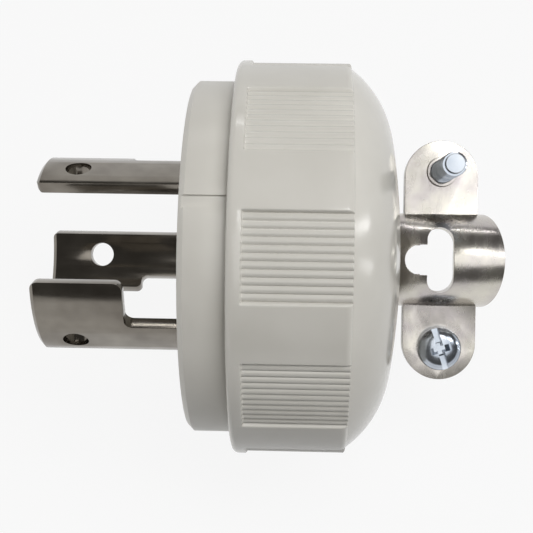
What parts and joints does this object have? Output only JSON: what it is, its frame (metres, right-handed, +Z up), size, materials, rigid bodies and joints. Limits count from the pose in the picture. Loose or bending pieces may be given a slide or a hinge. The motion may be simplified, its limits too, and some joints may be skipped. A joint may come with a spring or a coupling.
{
  "type": "twist lock plug",
  "caption": "Round twist lock power plug with curved hooked blades, a ribbed grip ring, a domed back and a two-piece cord clamp.",
  "frame": {"origin": "centre of the plug's flat front face, the face that the blades leave and that seats on the socket", "axes": "+X along the plug's axis from the blades to the cord clamp, +Z up with the plug lying on one grip pad, +Y to the side that is up in the picture when the camera looks down at 70 degrees"},
  "size_m": [0.0615, 0.052, 0.052],
  "materials": {
    "body_plastic": "moulded off-white nylon, slightly glossy",
    "cover_plastic": "moulded off-white nylon, glossy dome and fine ribbed pads",
    "blade_plate": "brass blades, nickel plated and polished",
    "clamp_steel": "pressed steel, bright zinc plated",
    "screw_steel": "steel, blue zinc plated",
    "terminal_metal": "plain brass"
  },
  "bodies": {
    "root": {"front_body": "body_plastic", "cover": "cover_plastic", "line_blade_upper": "blade_plate", "line_blade_lower": "blade_plate", "earth_blade": "blade_plate", "clamp_saddle_near": "clamp_steel", "clamp_saddle_far": "clamp_steel", "clamp_screw_upper": "screw_steel", "clamp_screw_lower": "screw_steel", "terminal_screw_1": "terminal_metal", "terminal_washer_1": "terminal_metal", "assembly_screw_1": "screw_steel", "assembly_nut_1": "screw_steel", "terminal_screw_2": "terminal_metal", "terminal_washer_2": "terminal_metal", "assembly_screw_2": "screw_steel", "assembly_nut_2": "screw_steel", "terminal_screw_3": "terminal_metal", "terminal_washer_3": "terminal_metal", "assembly_screw_3": "screw_steel", "assembly_nut_3": "screw_steel"}
  },
  "joints": []
}
